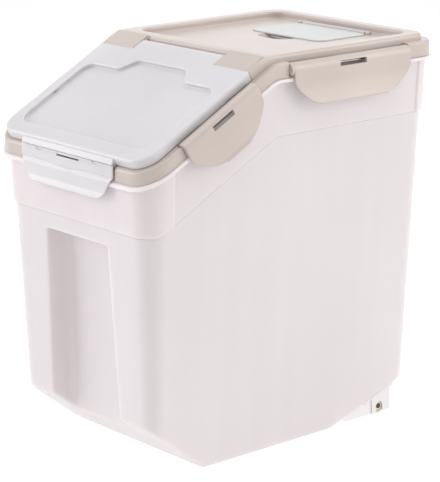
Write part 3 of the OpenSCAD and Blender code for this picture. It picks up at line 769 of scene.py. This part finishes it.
def side_latch(name, length, slot, lo, where, s):
    """lo: (height over the flange, half length) pairs"""
    a = np.radians(np.linspace(112, 0, 17))
    arc = np.column_stack([6.3 * np.cos(a), 6.3 * np.sin(a)])
    bot = -AN - 25.5
    tail = smooth_path([(6.3, 0), (6.3, -7), (6.3, -14), (6.75, -19.5), (7.7, -26), (8.6, bot + 2.2), (10.2, bot)], 0.9, 3)
    outer = np.concatenate([arc, tail[1:]])
    th = np.interp(outer[:, 1], [bot, -14, 10], [1.75, 2.15, 2.15])
    inner = offset_path(outer, 1.0)
    inner = outer + (inner - outer) * th[:, None]
    if np.hypot(*inner[3]) > np.hypot(*outer[3]):
        inner = 2 * outer - inner
    outer, inner = round_end(outer, inner)
    hn = np.array([p[0] for p in lo][::-1])
    hv = np.array([p[1] for p in lo][::-1])
    mid = (outer + inner) / 2
    half = lambda k: float(np.interp(mid[k, 1] + AN, hn, hv)) if k > 16 else length / 2
    ob = shell(name, outer, inner, half, lambda x, n, y: where(s * (AX + x), y, AN + n), 84 if length > 120 else 60)
    if length > 120:
        for v in ob.data.vertices:
            y, n = v.co.y - 58.5, v.co.z - RIM
            if y < -30:
                k = float(np.interp(n, [-20, -8, 0, 8, 14], [1.2, 2.6, 2.9, 2.0, 1.6]))
                v.co.y += k * min(1.0, (-30 - y) / 25)
    cut(ob, box("slot", tuple(sorted((s * (AX + 2), s * (AX + 9)))[:1]) + (-slot / 2, AN - 2.5), tuple(sorted((s * (AX + 2), s * (AX + 9)))[1:]) + (slot / 2, AN + 2.4), 0.0,
                where=lambda x, y, n: where(x, y, n)))
    h = length / 2
    for y in (-h + 1.6, -slot / 2 - 3.5, slot / 2 + 3.5, h - 1.6):
        t = np.linspace(math.radians(-52), math.radians(108), 14)
        prof = [(6.0 * math.cos(q), 6.0 * math.sin(q)) for q in t] + [(-2.0, -1.2), (-1.2, -2.2), (1.5, -3.6)]
        rings = [np.array([where(s * (AX + p), y + k, AN + q) for p, q in prof]) for k in (-1.5, 1.5)]
        add(ob, rings_to_solid("rib", rings))
    bead = [(3.2, -AN - 6.3), (4.6, -AN - 6.9), (4.6, -AN - 3.9), (3.2, -AN - 4.5)]
    add(ob, rings_to_solid("bead", [np.array([where(s * (AX + p), k, AN + q) for p, q in bead]) for k in (-14, 14)]))
    t = np.linspace(0, 2 * math.pi, 24, endpoint=False)
    cut(ob, rings_to_solid("h", [np.array([where(s * (AX + 1.06 * math.cos(a)), k, AN + 1.06 * math.sin(a)) for a in t]) for k in (-h - 1, h + 1)]))
    return ob


REAR_LO = [(14, 74.5), (-1, 74.5), (-4, 74.0), (-7, 72.6), (-10, 70.2), (-13, 66.8), (-16, 62.8), (-19, 58.6), (-21.5, 55.0), (-23.5, 51.0), (-25, 46), (-25.5, 42)]
SLOPE_LO = [(14, 46.5), (-1, 46.5), (-4, 46.2), (-7, 45.0), (-10, 42.6), (-13, 39.3), (-16, 35.6), (-19, 31.6), (-21.5, 27.6), (-23.5, 23.0), (-25, 17.5), (-25.5, 14)]


def build_front_latch():
    w = 66.0
    # section: outer face from the top edge down to the lip, and the inner face at matching heights
    zo = np.concatenate([np.linspace(-0.2, -7.2, 8), np.linspace(-7.6, -13.6, 25), np.linspace(-14.2, -30.1, 32)])
    low = smooth_path([(-0.45, -6.5), (-0.45, -9.2), (-0.9, -10.4), (-1.7, -11.6), (-2.3, -12.9), (-2.5, -15), (-2.45, -19), (-2.3, -23.4), (-2.5, -25.0), (-3.1, -26.2), (-3.55, -28), (-3.7, -30.1)], 0.4, 3)
    yo = np.where(zo > -7.4, -1.12, np.interp(zo, low[::-1, 1], low[::-1, 0]))
    a = np.radians(np.linspace(90, 180, 8))
    arc = [(-0.3 + 0.82 * math.cos(t), 0.95 + 0.82 * math.sin(t)) for t in a]
    outer = np.array([(0.0, 1.77)] + arc + list(zip(yo, zo)))
    iy = np.interp(zo, [-30.1, -26.6, -23.2, -20.5, -12.4, -11, -9.8, -9, 0], [-3.1, -2.0, -1.2, -1.08, -1.08, -0.1, 0.6, 1.1, 1.1])
    inner = np.array([(0.0, 0.9)] + [(1.1 * (k + 1) / 8, 0.9 - 0.2 * k / 8) for k in range(8)] + list(zip(iy, zo)))
    inner[:9] = [(0.02, 1.75)] + [(0.3 + 0.8 * math.sin(t), 0.95 + 0.8 * math.cos(t)) for t in np.linspace(0, math.pi / 2, 8)]
    o, i = round_end(outer, inner, 0.7)
    outer[9:], inner[9:] = o[9:], i[9:]
    edge = poly_round([(w, 10), (w, -9), (54.5, -25.5), (46, -30.6), (-46, -30.6), (-54.5, -25.5), (-w, -9), (-w, 10)], [0, 7, 9, 7, 7, 9, 7, 0], 16)
    edge = edge[(edge[:, 0] > 0) & (edge[:, 1] > -30.59)]
    order = np.argsort(edge[:, 1])
    mid = (outer + inner) / 2
    half = lambda k: float(np.interp(mid[k, 1], edge[order, 1], edge[order, 0]))
    ob = shell("front_latch_body", outer, inner, half, lambda y, z, x: (x, FY + y, FZ + z), 140, 0.8)
    # the upper strip ends in a low step that sags in the middle
    for v in ob.data.vertices:
        x, y, z = v.co.x, v.co.y - FY, v.co.z - FZ
        if -13.7 < z < -7.3 and y < 0.1:
            e = -8.7 - 2.9 * 0.5 * (1 + math.cos(math.pi * max(-1, min(1, (x + 1) / 27))))
            q = max(0.0, min(1.0, (z - e + 0.3) / 0.6))
            q = q * q * (3 - 2 * q)
            v.co.y = FY + y * (1 - q) + min(-1.13, y) * q
    cut(ob, box("slot", (-13.5, FY - 4, FZ - 1.9), (19.0, FY + 4, FZ + 0.8)))
    for s in (-1, 1):
        xa, xb = s * 41 - 3.15, s * 41 + 3.15
        cut(ob, box("seat", (xa, FY - 0.2, FZ - 0.75), (xb, FY + 4, FZ + 4)), extrude_x("seat", [(FY - 4, FZ + 0.64), (FY + 4, FZ - 3.04), (FY + 4, FZ + 4), (FY - 4, FZ + 4)], xa, xb),
            cylinder_x("seat", 1.1, xa, xb, FY, FZ, 32))
    cut(ob, cylinder_x("h", 0.64, -60, 60, FY, FZ, 24))
    return ob


# ---------------------------------------------------------------- wheels
def revolve_x(name, prof, y, z, n=72):
    t = np.linspace(0, 2 * math.pi, n, endpoint=False)
    verts, faces = [], []
    m = len(prof)
    for x, r in prof:
        verts += [(x, y + r * math.cos(a), z + r * math.sin(a)) for a in t]
    for k in range(m):
        l = (k + 1) % m
        for i in range(n):
            j = (i + 1) % n
            faces.append((k * n + i, k * n + j, l * n + j, l * n + i))
    return make(name, verts, faces)


def build_wheel():
    w, r = 6.0, 7.6
    p = poly_round([(2.0, 5.2), (0.25, 5.6), (0, r), (w, r), (w, 5.2), (w - 0.5, 4.8), (w - 0.5, 1.56)], [0.4, 0.3, 1.25, 1.25, 0.2, 0.2, 0], 5)
    prof = [(WX - 0.3 - a, b) for a, b in [(0.3, 1.56), (0.1, 1.8), (0.1, 4.1), (0.35, 4.45), (1.9, 4.7)] + [tuple(q) for q in p]]
    return revolve_x("wheel_body", prof, WY, WZ)


def rz(y):
    return (y - 57.7) * math.tan(math.radians(18.6)) - 0.02


def build_bracket():
    b = extrude_x("wheel_bracket_body", [(104, rz(104)), (142, rz(142)), (142, rz(142) - 2.4), (104, rz(104) - 2.4)], WX - 16, WX + 0.4)
    q = poly_round([(113, rz(113)), (138, rz(138)), (138.5, 15), (128, 2.2), (118, 2.2), (112, 9)], [0, 0, 3, 4, 4, 3], 8)
    add(b, extrude_x("arm", q, WX - 13, WX - 7.2))
    q = poly_round([(74, rz(74)), (114.6, rz(114.6)), (114.6, 2), (80, 2)], [0, 0, 1.6, 1.6], 6)
    add(b, extrude_x("gusset", q, WX - 2.6, WX - 0.4))
    q = poly_round([(132, rz(132)), (137.4, rz(137.4)), (137.4, 2.6), (132, 2.6)], [0, 0, 1.6, 1.2], 6)
    add(b, extrude_x("fin", q, WX - 10, WX - 0.4))
    # thin cheek outside the wheel, open round the hub and below it
    q = poly_round([(113, rz(113)), (137.4, rz(137.4)), (137.4, 2.6), (128.6, 2.6), (127.2, 1.6), (114, 1.6)], [0, 0, 1.2, 0.6, 0.6, 1.2], 6)
    cheek = extrude_x("cheek", q, WX - 0.1, WX + 0.75)
    cut(cheek, cylinder_x("eye", 4.7, WX - 2, WX + 2, WY, WZ, 48), extrude_x("slot", [(WY - 3.0, WZ), (WY + 4.68, WZ), (WY + 5.6, -1), (WY - 3.6, -1)], WX - 2, WX + 2))
    add(b, cheek)
    cut(b, cylinder_x("h", 1.5, WX - 12, WX, WY, WZ, 40))
    return b


def build_basket():
    o = lambda x, y0, y1, r: (lambda d: rect(-x - d, x + d, y0 - d, y1 + d, r + d, 8))
    b = pad("desiccant_basket_body", o(45.5, 86.5, 137.5, 5), [(-2.0, PZ - 23.05), (-0.9, PZ - 22.6), (-0.25, PZ - 21.8), (0, PZ - 20.8), (0, PZ - 2.05)])
    add(b, pad("rim", o(50, 84, 141, 6), [(-0.3, PZ - 3.6), (0, PZ - 3.3), (0, PZ - 2.35), (-0.3, PZ - 2.05)]))
    cut(b, pad("in", o(43.9, 88.1, 135.9, 4), [(-1.2, PZ - 21.45), (-0.3, PZ - 21.1), (0, PZ - 20.2), (0, PZ)]))
    for i in range(-4, 5):
        cut(b, pad("vent", lambda d, i=i: rect(i * 9 - 1.5 - d, i * 9 + 1.5 + d, 94 - d, 130 + d, 1.45 + d, 5), [(0, PZ - 26), (0, PZ - 20)]))
    return b


def build_lid_gasket():
    g = taper_solid("lid_gasket_body", -3.0, -7, -7, -4, -4)
    cut(g, taper_solid("gi", -4.6, -9, -9, 0, 0))
    return g


def build_flip_gasket():
    o = lambda x, y0, y1, r: (lambda d: rect(-x - d, x + d, y0 - d, y1 + d, r + d, 12))
    n0, n1 = NS + 1.85, LIDH - 6.62
    g = pad("flip_gasket_body", o(87, -136, -47, 19), [(-0.5, n0), (-0.12, n0 + 0.14), (0, n0 + 0.5), (0, n1)], on_slope)
    cut(g, pad("gi", o(82.5, -131.5, -51.5, 14.5), [(0.5, n0 - 1), (0.5, n0), (0.1, n0 + 0.14), (0, n0 + 0.5), (0, n1 + 2)], on_slope))
    return g


# ---------------------------------------------------------------- materials
def nodes_of(m):
    m.use_nodes = True
    nt = m.node_tree
    nt.nodes.clear()
    out = nt.nodes.new("ShaderNodeOutputMaterial")
    b = nt.nodes.new("ShaderNodeBsdfPrincipled")
    nt.links.new(b.outputs[0], out.inputs[0])
    return nt, b


def srgb(r, g, b):
    f = lambda c: (c / 255 / 12.92) if c / 255 <= 0.04045 else ((c / 255 + 0.055) / 1.055) ** 2.4
    return (f(r), f(g), f(b), 1.0)


def plastic(name, dark, light, rough=(0.34, 0.46), grain=900.0, grain_d=0.00002, wave=9.0, wave_d=0.0004, sss=0.0, radius=(1.0, 0.9, 0.85), scale=0.004, coat=0.0, coat_r=0.2, spec=0.5, flow=0.0, trans=0.0, painted_glow=0.0):
    """moulded plastic: cloudy colour, fine texture of the mould, slow waviness, faint flow lines, and an optional
    painted glow (emission) that lifts shaded parts as if lit through the plastic
    """
    m = bpy.data.materials.new(name)
    nt, b = nodes_of(m)
    N, L = nt.nodes.new, nt.links.new
    tc = N("ShaderNodeTexCoord")
    cloud = N("ShaderNodeTexNoise")
    cloud.inputs["Scale"].default_value = wave
    cloud.inputs["Detail"].default_value = 3.0
    cloud.inputs["Roughness"].default_value = 0.45
    L(tc.outputs["Object"], cloud.inputs["Vector"])
    flowmap = N("ShaderNodeMapping")
    flowmap.inputs["Scale"].default_value = (34.0, 34.0, 2.2)
    L(tc.outputs["Object"], flowmap.inputs["Vector"])
    fl = N("ShaderNodeTexNoise")
    fl.inputs["Scale"].default_value = 1.0
    fl.inputs["Detail"].default_value = 2.0
    L(flowmap.outputs[0], fl.inputs["Vector"])
    mixf = N("ShaderNodeMix")
    mixf.inputs[0].default_value = flow
    L(cloud.outputs["Fac"], mixf.inputs[2])
    L(fl.outputs["Fac"], mixf.inputs[3])
    ramp = N("ShaderNodeValToRGB")
    ramp.color_ramp.elements[0].position = 0.32
    ramp.color_ramp.elements[1].position = 0.68
    ramp.color_ramp.elements[0].color = dark
    ramp.color_ramp.elements[1].color = light
    L(mixf.outputs[0], ramp.inputs[0])
    L(ramp.outputs[0], b.inputs["Base Color"])
    fine = N("ShaderNodeTexNoise")
    fine.inputs["Scale"].default_value = grain
    fine.inputs["Detail"].default_value = 2.0
    L(tc.outputs["Object"], fine.inputs["Vector"])
    rr = N("ShaderNodeMapRange")
    rr.inputs["To Min"].default_value, rr.inputs["To Max"].default_value = rough
    mid = N("ShaderNodeTexNoise")
    mid.inputs["Scale"].default_value = 42.0
    mid.inputs["Detail"].default_value = 4.0
    L(tc.outputs["Object"], mid.inputs["Vector"])
    L(mid.outputs["Fac"], rr.inputs["Value"])
    L(rr.outputs[0], b.inputs["Roughness"])
    slow = N("ShaderNodeBump")
    slow.inputs["Strength"].default_value = 0.6
    slow.inputs["Distance"].default_value = wave_d
    L(mixf.outputs[0], slow.inputs["Height"])
    bump = N("ShaderNodeBump")
    bump.inputs["Strength"].default_value = 0.5
    bump.inputs["Distance"].default_value = grain_d
    L(fine.outputs["Fac"], bump.inputs["Height"])
    L(slow.outputs[0], bump.inputs["Normal"])
    L(bump.outputs[0], b.inputs["Normal"])
    b.inputs["Specular IOR Level"].default_value = spec
    b.inputs["Subsurface Weight"].default_value = sss
    b.inputs["Subsurface Radius"].default_value = radius
    b.inputs["Subsurface Scale"].default_value = scale
    b.inputs["Coat Weight"].default_value = coat
    b.inputs["Coat Roughness"].default_value = coat_r
    b.inputs["Transmission Weight"].default_value = trans
    # painted light: this emission makes the plastic glow faintly though it is no lamp, standing in for light that
    # passes through the translucent wall into shaded recesses
    b.inputs["Emission Color"].default_value = (1.0, 0.985, 1.0, 1)
    b.inputs["Emission Strength"].default_value = painted_glow
    return m


def steel(name, k=1.0):
    m = bpy.data.materials.new(name)
    nt, b = nodes_of(m)
    N, L = nt.nodes.new, nt.links.new
    tc = N("ShaderNodeTexCoord")
    mp = N("ShaderNodeMapping")
    mp.inputs["Scale"].default_value = (60.0, 2600.0, 2600.0)
    L(tc.outputs["Object"], mp.inputs["Vector"])
    n = N("ShaderNodeTexNoise")
    n.inputs["Detail"].default_value = 3.0
    L(mp.outputs[0], n.inputs["Vector"])
    r = N("ShaderNodeMapRange")
    r.inputs["To Min"].default_value, r.inputs["To Max"].default_value = 0.22, 0.42
    L(n.outputs["Fac"], r.inputs["Value"])
    L(r.outputs[0], b.inputs["Roughness"])
    ramp = N("ShaderNodeValToRGB")
    ramp.color_ramp.elements[0].color = (0.42 * k, 0.42 * k ** 1.1, 0.43 * k ** 1.2, 1)
    ramp.color_ramp.elements[1].color = (0.62 * k, 0.62 * k ** 1.1, 0.63 * k ** 1.2, 1)
    L(n.outputs["Fac"], ramp.inputs[0])
    L(ramp.outputs[0], b.inputs["Base Color"])
    bump = N("ShaderNodeBump")
    bump.inputs["Strength"].default_value = 0.3
    bump.inputs["Distance"].default_value = 0.00001
    L(n.outputs["Fac"], bump.inputs["Height"])
    L(bump.outputs[0], b.inputs["Normal"])
    b.inputs["Metallic"].default_value = 1.0
    return m


MAT = {
    # the tub carries a faint painted glow, standing in for light through its translucent walls, which brightens its
    # shaded channel walls
    "tub_translucent": plastic("tub_translucent", srgb(200, 191, 192), srgb(207, 199, 200), rough=(0.36, 0.5), wave=5.0, wave_d=0.0012, sss=0.6, scale=0.012, flow=0.35, painted_glow=0.11),
    "lid_translucent": plastic("lid_translucent", srgb(203, 199, 201), srgb(210, 207, 209), rough=(0.26, 0.36), wave=8.0, wave_d=0.0005, sss=0.4, scale=0.006),
    "lid_beige": plastic("lid_beige", srgb(189, 176, 168), srgb(196, 184, 177), rough=(0.25, 0.36), wave=9.0, wave_d=0.0004, grain_d=0.00003),
    "door_white": plastic("door_white", srgb(190, 189, 188), srgb(196, 195, 194), rough=(0.32, 0.42)),
    "basket_white": plastic("basket_white", srgb(226, 223, 220), srgb(231, 229, 227), rough=(0.36, 0.5)),
    "bracket_white": plastic("bracket_white", srgb(226, 221, 221), srgb(231, 227, 228), rough=(0.36, 0.48), sss=0.15),
    "wheel_cream": plastic("wheel_cream", srgb(214, 202, 186), srgb(221, 211, 197), rough=(0.4, 0.55), wave=60.0),
    "seal_silicone": plastic("seal_silicone", srgb(220, 220, 219), srgb(227, 227, 227), rough=(0.55, 0.7), wave=30.0, sss=0.2),
    "steel_pin": steel("steel_pin"),
    "steel_dark": steel("steel_dark", 0.16),
}

# ---------------------------------------------------------------- the pieces
rear = lambda x, y, n: (x, 58.5 + y, RIM + n)
sloped = lambda x, y, n: on_slope(x, -69 + y, n)
finish(build_tub(), MAT["tub_translucent"], "bin", ["bin_body"], step=0)
lid = build_main_lid()
# the fillet at the foot of the panel's front wall, and the top faces of the two ears
yw = LIPY + 14
foot = [(yw - 1.2, PZ - 0.5), (yw + 2.0, PZ - 0.5), (yw + 2.0, PZ + 0.05), (yw + 1.2, PZ + 0.22), (yw + 0.55, PZ + 0.75), (yw + 0.2, PZ + 1.5), (yw + 0.06, PZ + 2.9), (yw - 1.2, PZ + 2.9)]
strip = extrude_x("panel_front_fillet", foot, -PXI + 2.6, PXI - 2.6)
finish(strip, MAT["lid_beige"], "lid", [])
for side, s in (("right", 1), ("left", -1)):
    top = [on_slope(0, y, n)[1:] for y, n in ((5.0, LIDH - 0.5), (5.0, LIDH + 0.05), (-14.4, LIDH + 0.05), (-14.4, LIDH - 0.5))]
    finish(extrude_x(f"ear_{side}_top", top, *sorted((s * 58.0, s * 101.7))), MAT["lid_beige"], "lid", [])
finish(lid, MAT["lid_beige"], "lid", ["main_lid"])
finish(build_flip_lid(), MAT["lid_translucent"], "flip", ["flip_lid"])
finish(build_door(), MAT["door_white"], "door", ["compartment_door"])
finish(build_front_latch(), MAT["lid_translucent"], "front_clasp", ["front_latch"])
for side, s in (("right", 1), ("left", -1)):
    finish(side_latch(f"latch_{side}_rear_body", 149, 33, REAR_LO, rear, s), MAT["lid_beige"], f"clasp_{side}_rear", [f"latch_{side}_rear"])
    finish(side_latch(f"latch_{side}_front_body", 93, 26, SLOPE_LO, sloped, s), MAT["lid_beige"], f"clasp_{side}_front", [f"latch_{side}_front"])
    w, b = build_wheel(), build_bracket()
    if s < 0:
        mirror_x(w), mirror_x(b)
    w.name, b.name = f"wheel_{side}_tyre", f"wheel_bracket_{side}_body"
    finish(w, MAT["wheel_cream"], f"wheel_{side}_body", [f"wheel_{side}"])
    finish(b, MAT["bracket_white"], "bin", [f"wheel_bracket_{side}"])
finish(build_basket(), MAT["basket_white"], "lid", ["desiccant_basket"])
finish(build_lid_gasket(), MAT["seal_silicone"], "lid", ["lid_gasket"])
finish(build_flip_gasket(), MAT["seal_silicone"], "flip", ["flip_gasket"])
for name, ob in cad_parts.items():
    if "pin" in name or name.startswith("axle"):
        ob.data.materials.clear()
        ob.data.materials.append(MAT["steel_pin" if "pin" in name else "steel_dark"])
        bev = ob.modifiers.new("round", "BEVEL")
        bev.width, bev.segments, bev.limit_method = 0.00015, 2, "ANGLE"

# ---------------------------------------------------------------- room, light, camera
scene = bpy.context.scene


def floor():
    me = bpy.data.meshes.new("floor")
    bm = bmesh.new()
    bmesh.ops.create_grid(bm, x_segments=2, y_segments=2, size=6)
    bm.to_mesh(me)
    bm.free()
    ob = bpy.data.objects.new("floor", me)
    scene.collection.objects.link(ob)
    m = bpy.data.materials.new("floor")
    nt, b = nodes_of(m)
    b.inputs["Base Color"].default_value = (0.3, 0.3, 0.3, 1)
    b.inputs["Roughness"].default_value = 0.9
    b.inputs["Specular IOR Level"].default_value = 0.0
    b.inputs["Emission Color"].default_value = (1, 1, 1, 1)
    b.inputs["Emission Strength"].default_value = 0.78
    me.materials.append(m)


def area(name, loc, target, size, power, color=(1, 1, 1)):
    d = bpy.data.lights.new(name, "AREA")
    d.shape, d.size, d.size_y, d.energy, d.color = "RECTANGLE", size[0], size[1], power, color
    o = bpy.data.objects.new(name, d)
    o.location = loc
    o.rotation_euler = (Vector(target) - Vector(loc)).to_track_quat("-Z", "Y").to_euler()
    scene.collection.objects.link(o)
    return o


floor()
world = bpy.data.worlds.new("studio")
scene.world = world
world.use_nodes = True
world.node_tree.nodes["Background"].inputs[0].default_value = (1.0, 1.0, 1.0, 1)
world.node_tree.nodes["Background"].inputs[1].default_value = 0.55
area("left", (-1.5, -1.5, 0.9), (0, 0, 0.18), (1.6, 1.6), 24, (0.97, 0.97, 1.0))
area("right", (1.5, 1.5, 1.0), (0, 0, 0.18), (1.6, 1.6), 22, (1.0, 0.985, 0.96))
area("above", (0, 0.2, 2.3), (0, 0, 0.18), (2.5, 2.5), 29, (0.96, 0.98, 1.0))
area("behind", (-1.75, 1.5, 0.95), (0, 0, 0.37), (2.2, 1.2), 6.2, (0.88, 0.95, 1.0))
area("front", (1.2, -1.7, 1.2), (0, 0, 0.18), (1.6, 1.2), 4, (0.95, 0.975, 1.0))

cam = bpy.data.cameras.new("camera")
cam.sensor_fit, cam.sensor_width, cam.lens = "HORIZONTAL", 36.0, 171.49
cam.clip_end = 50
co = bpy.data.objects.new("camera", cam)
scene.collection.objects.link(co)
back = Vector((0.7313, -0.6330, 0.2540)).normalized()
right = Vector((0, 0, 1)).cross(back).normalized()
up = back.cross(right)
roll = -0.0022
right, up = right * math.cos(roll) + up * math.sin(roll), up * math.cos(roll) - right * math.sin(roll)
mw = Matrix((right, up, back)).transposed().to_4x4()
mw.translation = Vector((1.449389, -1.252395, 0.679859))
co.matrix_world = mw
scene.camera = co
scene.view_settings.view_transform = "Standard"
scene.cycles.use_denoising = True
